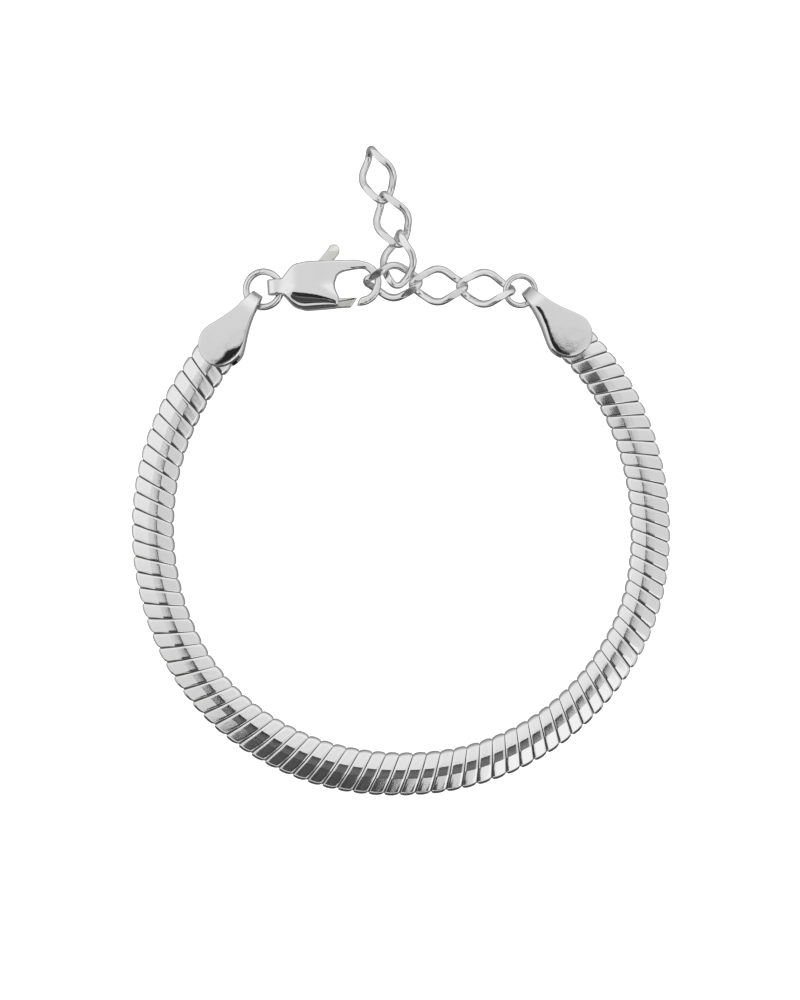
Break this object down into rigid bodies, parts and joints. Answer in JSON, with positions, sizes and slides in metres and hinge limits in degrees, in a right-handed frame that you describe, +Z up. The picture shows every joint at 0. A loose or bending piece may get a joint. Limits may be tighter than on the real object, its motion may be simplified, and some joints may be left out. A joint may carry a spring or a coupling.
{
  "type": "chain bracelet",
  "caption": "Flattened snake chain bracelet closed in a loop by a lobster clasp, with drop-shaped end caps, jump rings and an extension chain of curb links.",
  "frame": {"origin": "middle of the wrist opening, at the level of the surface that the bracelet lies on", "axes": "+Z up from the surface, +Y from the middle of the loop towards the clasp and the free end of the extension chain, +X towards the end cap that carries the extension chain"},
  "size_m": [0.0633, 0.0765, 0.0031],
  "materials": {
    "silver_metal": "polished"
  },
  "bodies": {
    "bracelet": {"snake_chain": "silver_metal", "end_cap_left": "silver_metal", "end_cap_right": "silver_metal", "jump_ring_left": "silver_metal", "jump_ring_right": "silver_metal", "clasp_body": "silver_metal", "extension_link_1": "silver_metal", "extension_link_2": "silver_metal", "extension_link_3": "silver_metal", "extension_link_4": "silver_metal", "extension_link_5": "silver_metal", "extension_link_6": "silver_metal"},
    "lever": {"clasp_lever": "silver_metal"}
  },
  "joints": [
    {"name": "lever_hinge", "type": "hinge", "parent": "bracelet", "child": "lever", "pos_m": [-0.01, 0.0271, 0.00145], "axis": [0, 0, 1], "range_deg": [0, 25], "stiffness_Nm_per_rad": 0.005, "springref_deg": -14.9}
  ]
}
